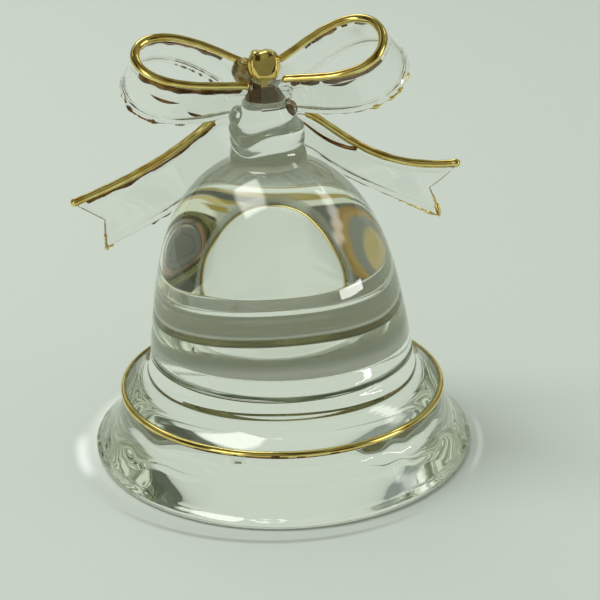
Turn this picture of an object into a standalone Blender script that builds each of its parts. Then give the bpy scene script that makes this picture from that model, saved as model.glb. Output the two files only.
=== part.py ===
"""Clear glass bell with gilt trim and a ribbon bow on top.

A solid, hand-worked glass ornament in the form of a table bell. The bell body
stands on its flat foot, with the origin at the foot's centre and +Z up. A stem
carries a knot, two ribbon loops and two ribbon tails with V-cut ends. Gold
lines follow the bead edges of the ribbon and the shoulder of the bell.
"""
from math import atan, cos, pi, radians, sin

import bmesh
import bpy
from mathutils import Matrix, Vector

MM = 0.001

# Clearance between neighbouring pieces
SEAT_GAP = 0.3 * MM

# Bell body, sizes from the foot upwards
FOOT_RADIUS = 35.0 * MM
FOOT_EDGE_HEIGHT = 1.1 * MM
FOOT_EDGE_ROUND = 0.5 * MM
SKIRT_FOOT_RUN = 3.6 * MM
SKIRT_FOOT_RISE = 3.5 * MM
SKIRT_TOP_RUN = 1.2 * MM
SKIRT_TOP_DROP = 4.7 * MM
WAIST_RADIUS = 24.15 * MM
WAIST_HEIGHT = 18.6 * MM
COVE_RUN = 3.4 * MM
COVE_RISE = 1.5 * MM
COVE_DROP = 2.5 * MM
BARREL_DRAW_IN = 2.02 * MM
BARREL_RISE = 14.44 * MM
SHOULDER_RUN = 13.76 * MM
SHOULDER_DROP = 6.6 * MM
NECK_RADIUS = 6.6 * MM
NECK_FLARE = 0.3 * MM
NECK_HEIGHT = 2.9 * MM
BELL_HEIGHT = 57.5 * MM
NECK_ROUND = 0.6 * MM

# The hand-made bell leans a little above its waist: sideways run per rise
LEAN = 0.043

# Gilt ring seated under the shoulder
RING_RADIUS = 29.3 * MM
RING_HEIGHT = 11.5 * MM
RING_ROD_RADIUS = 0.65 * MM
RING_SEAT_TOP_ANGLE = radians(118)
RING_SEAT_FOOT_ANGLE = radians(262)

# Stem: a round collar with a cone above it
STEM_HEIGHT = 10.0 * MM
COLLAR_HEIGHT = 3.7 * MM
COLLAR_ROUND = 0.9 * MM
CONE_TOP_RADIUS = 2.3 * MM
CONE_FOOT_SPREAD = 1.2 * MM
CONE_TOP_SPREAD = 0.9 * MM
CONE_TOP_DROP = 2.2 * MM

# Knot: a glass core with a gilt cap over its front
KNOT_SIDESTEP = 0.25 * MM
KNOT_WIDTH = 5.8 * MM
KNOT_DEPTH = 5.5 * MM
KNOT_TALL = 6.4 * MM
KNOT_ROUND = 1.7 * MM
KNOT_FOOT_HEIGHT = BELL_HEIGHT + STEM_HEIGHT + 2 * SEAT_GAP
KNOT_CENTRE_HEIGHT = KNOT_FOOT_HEIGHT + KNOT_TALL / 2
CAP_WALL = 0.5 * MM
CAP_DEPTH = 3.2 * MM

# Ribbon sections
RIBBON_THICKNESS = 1.2 * MM
RIBBON_ROUND = 0.4 * MM
LOOP_WIDTH = 9.18 * MM
LOOP_TILT = radians(38)
LOOP_GILT_RADIUS = 0.7 * MM
TAIL_GILT_RADIUS = 0.75 * MM
FINE_GILT_RADIUS = 0.3 * MM

# The gold swells to a small ball at a tail's tip: its share of the line's radius
TIP_SWELL = 1.12
TIP_BALL_LENGTH = 1.6 * MM

# Fullness of a loop: a larger number moves its widest place outwards
UPPER_FULLNESS = 1.40
LOWER_FULLNESS = 0.99

# The two loops differ, as drawn by hand. "side" is -1 on the left.
LOOP_LEFT = {
    "side": -1,
    "root_out": -0.14 * MM,
    "root_up": -1.35 * MM,
    "rise": radians(25.6),
    "sweep": radians(19.8),
    "upper": {"length": 19.77 * MM, "height": 6.99 * MM, "opening": 4.75 * MM, "start": 0.0},
    "lower": {"length": 18.82 * MM, "height": 10.43 * MM, "opening": 5.27 * MM, "start": 2.35 * MM},
}
LOOP_RIGHT = {
    "side": 1,
    "root_out": 0.42 * MM,
    "root_up": -0.53 * MM,
    "rise": radians(28.6),
    "sweep": radians(-25.7),
    "upper": {"length": 18.04 * MM, "height": 8.73 * MM, "opening": 4.75 * MM, "start": 0.0},
    "lower": {"length": 20.03 * MM, "height": 11.0 * MM, "opening": 5.27 * MM, "start": 0.0},
}

# Where the fine gold follows a loop's lower edge, in turns round the loop
LEFT_LOWER_GILT_START = 0.57
LEFT_LOWER_GILT_END = 0.78
RIGHT_LOWER_GILT_START = 0.52
RIGHT_LOWER_GILT_END = 0.80

# Tail edges as curve points from the knot's centre: root, two handles and tip
TAIL_LEFT = {
    "upper": (
        (-3.0 * MM, 5.2 * MM, -11.4 * MM),
        (-11.57 * MM, 8.0 * MM, -6.67 * MM),
        (-6.7 * MM, 9.0 * MM, -15.2 * MM),
        (-35.49 * MM, 3.0 * MM, -23.61 * MM),
    ),
    "lower": (
        (-2.5 * MM, 4.5 * MM, -15.5 * MM),
        (-20.42 * MM, 17.0 * MM, -30.55 * MM),
        (-11.32 * MM, 15.0 * MM, -27.68 * MM),
        (-30.6 * MM, 2.5 * MM, -32.48 * MM),
    ),
}
TAIL_RIGHT = {
    "upper": (
        (3.0 * MM, 5.0 * MM, -11.0 * MM),
        (8.82 * MM, 6.5 * MM, -6.14 * MM),
        (13.13 * MM, 6.5 * MM, -22.64 * MM),
        (32.91 * MM, 3.0 * MM, -20.6 * MM),
    ),
    "lower": (
        (2.5 * MM, 4.5 * MM, -15.5 * MM),
        (12.32 * MM, 15.0 * MM, -22.53 * MM),
        (4.43 * MM, 13.5 * MM, -21.62 * MM),
        (29.86 * MM, 3.5 * MM, -30.68 * MM),
    ),
}
LEFT_NOTCH_DEPTH = 2.6 * MM
RIGHT_NOTCH_DEPTH = 3.3 * MM

# The V-cut's slanting side needs a little more than the plain clearance
NOTCH_STAND_OFF = 1.25 * (FINE_GILT_RADIUS + SEAT_GAP)

# Shares of a tail's length where its gold lines begin and end
LEFT_TAIL_GILT_START = 0.22
RIGHT_TAIL_GILT_START = 0.14
LEFT_TAIL_FINE_GILT_START = 0.40
RIGHT_TAIL_FINE_GILT_START = 0.35
INNER_GILT_START = 0.08
INNER_GILT_END = 0.45
INNER_GILT_DIP_PLACE = 0.24

# Places across a tail, from 0 at its upper edge to 1 at its lower edge
INNER_GILT_DIP = 0.31
INNER_GILT_BEND = 5.1
NOTCH_GILT_END = 0.55

# Facets
BELL_STEPS = 50
STEM_STEPS = 40
CURVE_POINTS = 6
ARC_POINTS = 3
RIBBON_STEPS = 30
RIBBON_ROWS = 4
ROD_POINTS = 32
LOOP_ROD_POINTS = 40
FINE_ROD_POINTS = 18
NOTCH_ROD_POINTS = 3
END_POINTS = 2
EDGE_STEPS = 96

GLASS = {"color": (0.86, 0.91, 0.84, 1.0), "metallic": 0.0, "roughness": 0.03, "transmission": 1.0}
GOLD = {"color": (0.83, 0.58, 0.18, 1.0), "metallic": 1.0, "roughness": 0.14, "transmission": 0.0}


def clear_scene():
    for scene_object in list(bpy.data.objects):
        bpy.data.objects.remove(scene_object, do_unlink=True)


def new_collection(name):
    collection = bpy.data.collections.new(name)
    bpy.context.scene.collection.children.link(collection)
    return collection


def give_material(piece, look):
    material = bpy.data.materials.new(piece.name + "_material")
    material.use_nodes = True
    shader = material.node_tree.nodes["Principled BSDF"]
    shader.inputs["Base Color"].default_value = look["color"]
    shader.inputs["Metallic"].default_value = look["metallic"]
    shader.inputs["Roughness"].default_value = look["roughness"]
    shader.inputs["Transmission Weight"].default_value = look["transmission"]
    shader.inputs["IOR"].default_value = 1.52
    piece.data.materials.clear()
    piece.data.materials.append(material)


def add_mesh(name, mesh, collection):
    piece = bpy.data.objects.new(name, mesh)
    collection.objects.link(piece)
    return piece


def baked_mesh(piece):
    """The mesh that an object shows with its modifiers, as a mesh of its own."""
    bpy.context.view_layer.update()
    graph = bpy.context.evaluated_depsgraph_get()
    return bpy.data.meshes.new_from_object(piece.evaluated_get(graph))


def bake(piece):
    mesh = baked_mesh(piece)
    piece.modifiers.clear()
    piece.data = mesh


def shade_round(mesh, sharp_angle=radians(40)):
    mesh.shade_smooth()
    mesh.set_sharp_from_angle(angle=sharp_angle)


def arc(centre, radius, start, end, points=ARC_POINTS):
    """Points (radius, height) on a circular arc, both ends included."""
    turns = [start + (end - start) * i / points for i in range(points + 1)]
    return [Vector((centre[0] + radius * cos(a), centre[1] + radius * sin(a))) for a in turns]


def bezier_point(handles, share):
    start, first, second, end = handles
    rest = 1 - share
    return (start * rest ** 3 + first * 3 * rest ** 2 * share
            + second * 3 * rest * share ** 2 + end * share ** 3)


def bezier(handles, points=CURVE_POINTS):
    return [bezier_point(handles, i / points) for i in range(points + 1)]


def joined(*stretches):
    """One outline from stretches that share their end points."""
    outline = list(stretches[0])
    for stretch in stretches[1:]:
        close = (stretch[0] - outline[-1]).length < 1e-6
        outline.extend(stretch[1:] if close else stretch)
    return outline


def even_points(path, count):
    """The path's points moved to even steps along its length."""
    lengths = [0.0]
    for before, after in zip(path, path[1:]):
        lengths.append(lengths[-1] + (after - before).length)
    points = []
    place = 0
    for i in range(count + 1):
        target = lengths[-1] * i / count
        while place < len(path) - 2 and lengths[place + 1] < target:
            place += 1
        span = max(lengths[place + 1] - lengths[place], 1e-9)
        points.append(path[place].lerp(path[place + 1], (target - lengths[place]) / span))
    return points


def grown(outline, gap):
    """A turned outline moved outwards by the gap, with mitred corners."""
    normals = []
    for upper, lower in zip(outline, outline[1:]):
        along = (lower - upper).normalized()
        normals.append(Vector((-along.y, along.x)))
    normals = [normals[0]] + normals + [normals[-1]]
    moved = []
    for point, before, after in zip(outline, normals, normals[1:]):
        mitre = (before + after) / (1 + before.dot(after))
        moved.append(point + mitre * gap)
    return moved


def lean_shift(height):
    return -LEAN * max(0.0, height - WAIST_HEIGHT)


def lean_mesh(mesh):
    for vertex in mesh.vertices:
        vertex.co.x += lean_shift(vertex.co.z)


def turned(name, outline, steps, collection):
    """A solid of revolution whose outline runs from its top to its foot."""
    top = Vector((0.0, outline[0].y))
    foot = Vector((0.0, outline[-1].y))
    points = [top] + list(outline) + [foot]
    mesh = bpy.data.meshes.new(name)
    edges = [(i, i + 1) for i in range(len(points) - 1)]
    mesh.from_pydata([(p.x, 0.0, p.y) for p in points], edges, [])
    piece = add_mesh(name, mesh, collection)
    screw = piece.modifiers.new("Turn", "SCREW")
    screw.axis = "Z"
    screw.steps = steps
    screw.render_steps = steps
    screw.use_merge_vertices = True
    screw.merge_threshold = 0.00001
    bake(piece)
    lean_mesh(piece.data)
    shade_round(piece.data)
    return piece


def ring_seat():
    """The groove round the gilt ring, in the bell's outline."""
    centre = (RING_RADIUS, RING_HEIGHT)
    radius = RING_ROD_RADIUS + SEAT_GAP
    return arc(centre, radius, RING_SEAT_TOP_ANGLE, RING_SEAT_FOOT_ANGLE)


def neck_outline():
    """The bell's outline from its top face down to the waist."""
    neck_foot = Vector((NECK_RADIUS + NECK_FLARE, BELL_HEIGHT - NECK_HEIGHT))
    waist = Vector((WAIST_RADIUS, WAIST_HEIGHT))
    shoulder_handle = neck_foot + Vector((SHOULDER_RUN, -SHOULDER_DROP))
    barrel_handle = waist + Vector((-BARREL_DRAW_IN, BARREL_RISE))
    rim_centre = (NECK_RADIUS - NECK_ROUND, BELL_HEIGHT - NECK_ROUND)
    rim = arc(rim_centre, NECK_ROUND, pi / 2, 0)
    dome = bezier((neck_foot, shoulder_handle, barrel_handle, waist), 2 * CURVE_POINTS)
    return joined(rim, [rim[-1], neck_foot], dome)


def skirt_outline():
    """The bell's outline from the waist down to the flat foot."""
    waist = Vector((WAIST_RADIUS, WAIST_HEIGHT))
    seat = ring_seat()
    cove_top_handle = waist - Vector((0.0, COVE_DROP))
    cove_foot_handle = seat[0] + Vector((-COVE_RUN, COVE_RISE))
    cove = bezier((waist, cove_top_handle, cove_foot_handle, seat[0]))
    edge_centre = (FOOT_RADIUS - FOOT_EDGE_ROUND, FOOT_EDGE_ROUND)
    edge = arc(edge_centre, FOOT_EDGE_ROUND, 0, -pi / 2)
    edge_top = Vector((FOOT_RADIUS, FOOT_EDGE_HEIGHT))
    upper_handle = seat[-1] + Vector((SKIRT_TOP_RUN, -SKIRT_TOP_DROP))
    lower_handle = edge_top + Vector((-SKIRT_FOOT_RUN, SKIRT_FOOT_RISE))
    flare = bezier((seat[-1], upper_handle, lower_handle, edge_top))
    return joined(cove, seat, flare, edge)


def make_bell(collection):
    outline = joined(neck_outline(), skirt_outline())
    return turned("bell_body", outline, BELL_STEPS, collection)


def make_ring(collection):
    bpy.ops.mesh.primitive_torus_add(
        major_radius=RING_RADIUS, minor_radius=RING_ROD_RADIUS,
        major_segments=BELL_STEPS, minor_segments=8, location=(0, 0, RING_HEIGHT))
    ring = bpy.context.object
    ring.name = "gilt_shoulder_ring"
    move_to(ring, collection)
    shade_round(ring.data)
    return ring


def stem_outline():
    """The stem's outline from under the knot down to the bell."""
    top = Vector((CONE_TOP_RADIUS, KNOT_FOOT_HEIGHT - SEAT_GAP))
    foot = BELL_HEIGHT + SEAT_GAP
    rim_height = foot + COLLAR_HEIGHT
    rim_centre = (NECK_RADIUS - COLLAR_ROUND, rim_height - COLLAR_ROUND)
    rim = arc(rim_centre, COLLAR_ROUND, radians(55), 0)
    top_handle = top + Vector((CONE_TOP_SPREAD, -CONE_TOP_DROP))
    foot_handle = rim[0] + Vector((-CONE_FOOT_SPREAD, CONE_FOOT_SPREAD))
    cone = bezier((top, top_handle, foot_handle, rim[0]))
    base_centre = (NECK_RADIUS - NECK_ROUND, foot + NECK_ROUND)
    base = arc(base_centre, NECK_ROUND, 0, -pi / 2)
    return joined(cone, rim, base)


def move_to(piece, collection):
    for owner in list(piece.users_collection):
        owner.objects.unlink(piece)
    collection.objects.link(piece)


def make_bow_frame(collection):
    """An empty at the knot's centre, leaning as the neck does."""
    frame = bpy.data.objects.new("bow_frame", None)
    across = lean_shift(KNOT_CENTRE_HEIGHT) + KNOT_SIDESTEP
    frame.location = (across, 0.0, KNOT_CENTRE_HEIGHT)
    frame.rotation_euler = (0.0, -atan(LEAN), 0.0)
    collection.objects.link(frame)
    return frame


def rounded_box(name, size, centre, rounding, collection, frame):
    bpy.ops.mesh.primitive_cube_add(size=1)
    box = bpy.context.object
    box.name = name
    box.data.transform(Matrix.Translation(centre) @ Matrix.Diagonal((*size, 1)))
    if rounding:
        bevel = box.modifiers.new("Round", "BEVEL")
        bevel.width = rounding
        bevel.segments = 3
        bevel.limit_method = "NONE"
    box.parent = frame
    move_to(box, collection)
    return box


def boolean(piece, cutter, operation="DIFFERENCE"):
    cut = piece.modifiers.new(operation.title(), "BOOLEAN")
    cut.operation = operation
    cut.solver = "EXACT"
    cut.object = cutter


def hide_guide(piece):
    piece.hide_render = True
    piece.display_type = "WIRE"


def knot_box(name, shrink, collection, frame):
    """The knot's rounded form, smaller all round by a given amount."""
    size = (KNOT_WIDTH - 2 * shrink, KNOT_DEPTH - 2 * shrink, KNOT_TALL - 2 * shrink)
    rounding = max(KNOT_ROUND - shrink, KNOT_ROUND / 4)
    return rounded_box(name, size, (0, 0, 0), rounding, collection, frame)


def half_space(name, front, collection, frame):
    """A block behind the plane y = front, larger than the knot."""
    size = (2 * KNOT_WIDTH, KNOT_DEPTH, 2 * KNOT_TALL)
    centre = (0, front + KNOT_DEPTH / 2, 0)
    block = rounded_box(name, size, centre, 0, collection, frame)
    hide_guide(block)
    return block


def make_knot(parts, cutters, frame):
    rim = CAP_DEPTH - KNOT_DEPTH / 2
    cavity = knot_box("knot_cavity", CAP_WALL, cutters, frame)
    hide_guide(cavity)
    cap_back = half_space("knot_cap_back", rim, cutters, frame)
    cap = knot_box("gilt_knot_cap", 0.0, parts, frame)
    boolean(cap, cavity)
    boolean(cap, cap_back)
    core_back = knot_box("knot_core_back", 0.0, cutters, frame)
    boolean(core_back, half_space("knot_core_space", rim + SEAT_GAP, cutters, frame), "INTERSECT")
    hide_guide(core_back)
    core = knot_box("bow_knot", CAP_WALL + SEAT_GAP, parts, frame)
    boolean(core, core_back, "UNION")
    for piece in (cap, core):
        bake(piece)
        shade_round(piece.data)
    return cap, core


def make_cutters(cutters, frame):
    """The neck and the knot, larger all round by the seat gap."""
    outline = joined(stem_outline()[:-ARC_POINTS], neck_outline()[ARC_POINTS:])
    neck = turned("neck_clearance", grown(outline, SEAT_GAP), STEM_STEPS, cutters)
    hide_guide(neck)
    knot = knot_box("knot_clearance", -SEAT_GAP, cutters, frame)
    hide_guide(knot)
    return neck, knot


def loop_axes(loop):
    """The loop's length, spread and width directions."""
    side = loop["side"]
    outward = Vector((side, 0, 0))
    back = Vector((0, cos(LOOP_TILT), sin(LOOP_TILT)))
    width = Vector((0, -sin(LOOP_TILT), cos(LOOP_TILT)))
    rise = loop["rise"]
    length = outward * cos(rise) + back * sin(rise)
    spread = back * cos(rise) - outward * sin(rise)
    sweep = Matrix.Rotation(loop["sweep"], 3, "Z")
    return sweep @ length, sweep @ spread, sweep @ width


def loop_fullness(turn, fullness):
    return sin(turn) * abs(sin(turn / 2)) ** fullness


def loop_edge(loop, edge, width_shift, fullness, first=0.0, last=1.0, points=EDGE_STEPS):
    """One edge of a loop, over a share of its turn from the back leg."""
    length, spread, width = loop_axes(loop)
    root = Vector((loop["side"] * (KNOT_WIDTH / 2 + loop["root_out"]), 0, loop["root_up"]))
    root = root + edge["start"] * length - width_shift * width
    widest = max(loop_fullness(pi * i / EDGE_STEPS, fullness) for i in range(EDGE_STEPS))
    path = []
    for i in range(points + 1):
        turn = 2 * pi * (first + (last - first) * i / points)
        out = edge["length"] * (1 - cos(turn)) / 2
        swell = edge["height"] / 2 * loop_fullness(turn, fullness) / widest
        path.append(root + length * out + spread * (edge["opening"] / 2 * cos(turn / 2) + swell))
    return path


def upper_loop_edge(loop, **share):
    return loop_edge(loop, loop["upper"], 0.0, UPPER_FULLNESS, **share)


def lower_loop_edge(loop, **share):
    return loop_edge(loop, loop["lower"], LOOP_WIDTH, LOWER_FULLNESS, **share)


def with_inner_ends(path, side):
    """The path led straight in to the bow's middle at both ends."""
    inner = side * SEAT_GAP
    first = Vector((inner, path[0].y, path[0].z))
    last = Vector((inner, path[-1].y, path[-1].z))
    return [first] + path + [last]


def ribbon(name, rows, collection, frame):
    """A ribbon of glass from rows of points, thickened and rounded."""
    points = [tuple(point) for row in rows for point in row]
    count = len(rows[0])
    faces = []
    for r in range(len(rows) - 1):
        for i in range(count - 1):
            corner = r * count + i
            faces.append((corner, corner + 1, corner + count + 1, corner + count))
    mesh = bpy.data.meshes.new(name)
    mesh.from_pydata(points, [], faces)
    piece = add_mesh(name, mesh, collection)
    piece.parent = frame
    shell = piece.modifiers.new("Thickness", "SOLIDIFY")
    shell.thickness = RIBBON_THICKNESS
    shell.offset = 0.0
    bevel = piece.modifiers.new("Bead edge", "BEVEL")
    bevel.width = RIBBON_ROUND
    bevel.segments = 2
    bevel.angle_limit = radians(50)
    return piece


def crossed_rows(upper, lower, upper_margin, lower_margin):
    """Rows of points between two edges, kept in from each by a margin."""
    rows = []
    for r in range(RIBBON_ROWS + 1):
        row = []
        for top, foot in zip(upper, lower):
            across = (foot - top).normalized()
            start = top + across * upper_margin
            end = foot - across * lower_margin
            row.append(start.lerp(end, r / RIBBON_ROWS))
        rows.append(row)
    return rows


def make_loop(name, loop, cutting, collection, frame):
    upper = even_points(with_inner_ends(upper_loop_edge(loop), loop["side"]), RIBBON_STEPS)
    lower = even_points(with_inner_ends(lower_loop_edge(loop), loop["side"]), RIBBON_STEPS)
    upper_margin = LOOP_GILT_RADIUS + SEAT_GAP
    lower_margin = FINE_GILT_RADIUS + SEAT_GAP
    rows = crossed_rows(upper, lower, upper_margin, lower_margin)
    piece = ribbon(name, rows, collection, frame)
    for cutter in cutting:
        boolean(piece, cutter)
    bake(piece)
    shade_round(piece.data)
    return piece


def bead_end(path, radius):
    """Points past the path's last one, with their shares of the radius, for a round end."""
    onward = (path[-1] - path[-2]).normalized()
    turns = [pi / 2 * i / (END_POINTS + 0.5) for i in range(1, END_POINTS + 1)]
    return [(path[-1] + onward * radius * sin(turn), cos(turn)) for turn in turns]


def swell(path, point):
    """The line's radius share at a point, larger in the ball at the path's end."""
    reach = min((path[-1] - point).length / TIP_BALL_LENGTH, 1.0)
    return TIP_SWELL + (1 - TIP_SWELL) * reach ** 2


def rod(name, path, radius, cutting, collection, frame, sides_setting=2, ball=False):
    """A round-ended gold line along a path, as a mesh that its neighbours can cut."""
    end_share = TIP_SWELL if ball else 1.0
    start = [(point, share) for point, share in reversed(bead_end(path[::-1], radius))]
    middle = [(point, swell(path, point) if ball else 1.0) for point in path]
    end = [(point, share * end_share) for point, share in bead_end(path, radius * end_share)]
    stations = start + middle + end
    curve = bpy.data.curves.new(name, "CURVE")
    curve.dimensions = "3D"
    curve.bevel_depth = radius
    curve.bevel_resolution = sides_setting
    curve.use_fill_caps = True
    spline = curve.splines.new("POLY")
    spline.points.add(len(stations) - 1)
    for place, (point, share) in zip(spline.points, stations):
        place.co = (*point, 1.0)
        place.radius = share
    guide = bpy.data.objects.new(name + "_path", curve)
    collection.objects.link(guide)
    guide.parent = frame
    mesh = baked_mesh(guide)
    weld = bmesh.new()
    weld.from_mesh(mesh)
    bmesh.ops.remove_doubles(weld, verts=weld.verts, dist=0.000001)
    weld.to_mesh(mesh)
    weld.free()
    piece = add_mesh(name, mesh, collection)
    piece.matrix_world = guide.matrix_world
    bpy.data.objects.remove(guide, do_unlink=True)
    for cutter in cutting:
        boolean(piece, cutter)
    bake(piece)
    shade_round(piece.data)
    return piece


def tail_edges(tail):
    """The tail's two edges, each as points at even steps."""
    curves = [bezier([Vector(point) for point in tail[edge]], EDGE_STEPS) for edge in ("upper", "lower")]
    return tuple(even_points(curve, EDGE_STEPS) for curve in curves)


def along(edge, share):
    """The point at a share of an edge's length; past 1 it runs straight on."""
    place = share * EDGE_STEPS
    first = min(int(place), EDGE_STEPS - 1)
    return edge[first].lerp(edge[first + 1], place - first)


def edge_length(edge):
    return sum((after - before).length for before, after in zip(edge, edge[1:]))


def tail_point(edges, share, across):
    return along(edges[0], share).lerp(along(edges[1], share), across)


def tail_end_share(edges, notch_depth, across):
    """How far the tail reaches at a place across its V-cut end."""
    length = (edge_length(edges[0]) + edge_length(edges[1])) / 2
    return 1 - notch_depth / length * (1 - abs(2 * across - 1))


def make_tail(name, tail, notch_depth, cutting, collection, frame):
    upper_margin = TAIL_GILT_RADIUS + SEAT_GAP
    lower_margin = FINE_GILT_RADIUS + SEAT_GAP
    edges = tail_edges(tail)
    rows = []
    for r in range(RIBBON_ROWS + 1):
        across = r / RIBBON_ROWS
        reach = tail_end_share(edges, notch_depth, across)
        row = []
        for i in range(RIBBON_STEPS + 1):
            share = reach * i / RIBBON_STEPS
            top = along(edges[0], share)
            foot = along(edges[1], share)
            inward = (foot - top).normalized()
            start = top + inward * upper_margin
            end = foot - inward * lower_margin
            row.append(start.lerp(end, across))
        rows.append(row)
    piece = ribbon(name, rows, collection, frame)
    for cutter in cutting:
        boolean(piece, cutter)
    bake(piece)
    shade_round(piece.data)
    return piece


def upper_gilt_path(tail, start):
    """Along the tail's upper edge, out to its tip."""
    edge = tail_edges(tail)[0]
    return [along(edge, start + (1 - start) * i / ROD_POINTS) for i in range(ROD_POINTS + 1)]


def lower_gilt_path(tail, notch_depth, start):
    """Along the tail's lower edge, round the tip and up to the notch."""
    edges = tail_edges(tail)
    path = [along(edges[1], start + (1 - start) * i / FINE_ROD_POINTS) for i in range(FINE_ROD_POINTS + 1)]
    stand_off = NOTCH_STAND_OFF / edge_length(edges[1])
    for i in range(NOTCH_ROD_POINTS + 1):
        across = 1 - (1 - NOTCH_GILT_END) * i / NOTCH_ROD_POINTS
        path.append(tail_point(edges, tail_end_share(edges, notch_depth, across) + stand_off, across))
    return path


def inner_gilt_path(tail):
    """A fine line on the tail's front face, running in to its upper edge."""
    edges = tail_edges(tail)
    path = []
    lift = RIBBON_THICKNESS / 2 + FINE_GILT_RADIUS + SEAT_GAP
    for i in range(FINE_ROD_POINTS + 1):
        part_way = i / FINE_ROD_POINTS
        share = INNER_GILT_START + (INNER_GILT_END - INNER_GILT_START) * part_way
        across = INNER_GILT_DIP - INNER_GILT_BEND * (share - INNER_GILT_DIP_PLACE) ** 2
        point = tail_point(edges, share, across)
        onward = tail_point(edges, share + 1 / EDGE_STEPS, across) - point
        downward = tail_point(edges, share, across + 1 / RIBBON_ROWS) - point
        normal = onward.cross(downward).normalized()
        if normal.y > 0:
            normal = -normal
        path.append(point + normal * lift)
    return path


def make_gilt_lines(parts, neck, knot, frame):
    pieces = []
    loops = (
        ("left", LOOP_LEFT, LEFT_LOWER_GILT_START, LEFT_LOWER_GILT_END),
        ("right", LOOP_RIGHT, RIGHT_LOWER_GILT_START, RIGHT_LOWER_GILT_END),
    )
    for word, loop, first, last in loops:
        path = even_points(upper_loop_edge(loop), LOOP_ROD_POINTS)
        pieces.append(rod("gilt_loop_" + word, path, LOOP_GILT_RADIUS, (knot,), parts, frame))
        path = lower_loop_edge(loop, first=first, last=last, points=FINE_ROD_POINTS)
        pieces.append(rod("gilt_loop_" + word + "_lower", path, FINE_GILT_RADIUS, (), parts, frame, 1))
    tails = (
        ("left", TAIL_LEFT, LEFT_NOTCH_DEPTH, LEFT_TAIL_GILT_START, LEFT_TAIL_FINE_GILT_START),
        ("right", TAIL_RIGHT, RIGHT_NOTCH_DEPTH, RIGHT_TAIL_GILT_START, RIGHT_TAIL_FINE_GILT_START),
    )
    for word, tail, notch_depth, upper_start, lower_start in tails:
        path = upper_gilt_path(tail, upper_start)
        name = "gilt_tail_" + word + "_upper"
        pieces.append(rod(name, path, TAIL_GILT_RADIUS, (neck,), parts, frame, ball=True))
        path = lower_gilt_path(tail, notch_depth, lower_start)
        pieces.append(rod("gilt_tail_" + word + "_lower", path, FINE_GILT_RADIUS, (), parts, frame, 1))
    path = inner_gilt_path(TAIL_RIGHT)
    pieces.append(rod("gilt_tail_right_inner", path, FINE_GILT_RADIUS, (neck,), parts, frame, 1))
    return pieces


def main():
    clear_scene()
    parts = new_collection("glass_table_bell")
    cutters = new_collection("cutters")
    frame = make_bow_frame(parts)
    neck, knot = make_cutters(cutters, frame)
    bell = make_bell(parts)
    stem = turned("bow_stem", stem_outline(), STEM_STEPS, parts)
    cap, core = make_knot(parts, cutters, frame)
    glass = [bell, stem, core]
    glass.append(make_loop("bow_loop_left", LOOP_LEFT, (neck, knot), parts, frame))
    glass.append(make_loop("bow_loop_right", LOOP_RIGHT, (neck, knot), parts, frame))
    glass.append(make_tail("bow_tail_left", TAIL_LEFT, LEFT_NOTCH_DEPTH, (neck,), parts, frame))
    glass.append(make_tail("bow_tail_right", TAIL_RIGHT, RIGHT_NOTCH_DEPTH, (neck,), parts, frame))
    gold = [make_ring(parts), cap] + make_gilt_lines(parts, neck, knot, frame)
    for piece in glass:
        give_material(piece, GLASS)
    for piece in gold:
        give_material(piece, GOLD)


main()
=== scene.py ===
"""The looks of a solid clear glass bell with a gilt-edged ribbon bow."""

from math import cos, exp, pi, radians, sin

import bmesh
import bpy
from mathutils import Matrix, Vector, noise


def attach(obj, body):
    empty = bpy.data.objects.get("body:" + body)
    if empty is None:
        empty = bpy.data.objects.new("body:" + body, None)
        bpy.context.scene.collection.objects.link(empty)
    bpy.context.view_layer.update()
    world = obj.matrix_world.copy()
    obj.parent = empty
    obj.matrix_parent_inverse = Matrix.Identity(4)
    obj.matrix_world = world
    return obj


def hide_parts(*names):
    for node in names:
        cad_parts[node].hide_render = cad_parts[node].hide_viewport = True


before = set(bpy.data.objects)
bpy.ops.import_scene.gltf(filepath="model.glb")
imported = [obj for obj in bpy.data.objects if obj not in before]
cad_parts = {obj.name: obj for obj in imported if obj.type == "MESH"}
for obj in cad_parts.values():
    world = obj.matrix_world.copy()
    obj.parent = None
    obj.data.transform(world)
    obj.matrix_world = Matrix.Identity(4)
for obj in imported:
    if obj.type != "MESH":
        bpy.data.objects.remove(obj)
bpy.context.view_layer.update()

MM = 0.001

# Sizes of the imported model
NECK_RADIUS = 6.6 * MM
BELL_HEIGHT = 57.5 * MM
NECK_HEIGHT = 2.9 * MM
WAIST_HEIGHT = 18.6 * MM
WAIST_RADIUS = 24.15 * MM
LEAN = 0.043
FOOT_RADIUS = 35.0 * MM
RING_RADIUS = 29.3 * MM
RING_HEIGHT = 11.5 * MM
RING_ROD_RADIUS = 0.65 * MM
KNOT_HEIGHT = 71.3 * MM
KNOT_SIDESTEP = 0.25 * MM
KNOT_SIZE = Vector((5.8, 5.5, 6.4)) * MM
LOOP_WIDTH = 9.18 * MM
LOOP_TILT = radians(38)
LOOP_GILT_RADIUS = 0.7 * MM
TAIL_GILT_RADIUS = 0.75 * MM

# Finer sizes, which only the looks need
FINE_GILT_RADIUS = 0.28 * MM
# Radius of the dark tube of painted shade in the fold at the waist, and its rise above the waist
PAINTED_SHADE_RADIUS = 0.42 * MM
PAINTED_SHADE_RISE = 0.45 * MM
KNOT_ROUND = 2.3 * MM
CAP_BACK = 0.45 * MM
CAP_WALL = 0.05 * MM
FILM_WALL = 0.03 * MM
FILM_LIFT = 0.02 * MM
FILM_START = 0.45 * MM
FILM_LEAST_WIDTH = 0.35 * MM

# A ribbon is a thin sheet with a fuller glass bead along both edges, set in under the gold
SHEET_HALF_THICKNESS = 0.36 * MM
BEAD_HALF_THICKNESS = 0.56 * MM
BEAD_REACH = 0.9 * MM
BEAD_FADE = 0.55 * MM
UPPER_INSET = 0.35 * MM
LOWER_INSET = 0.1 * MM

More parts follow.
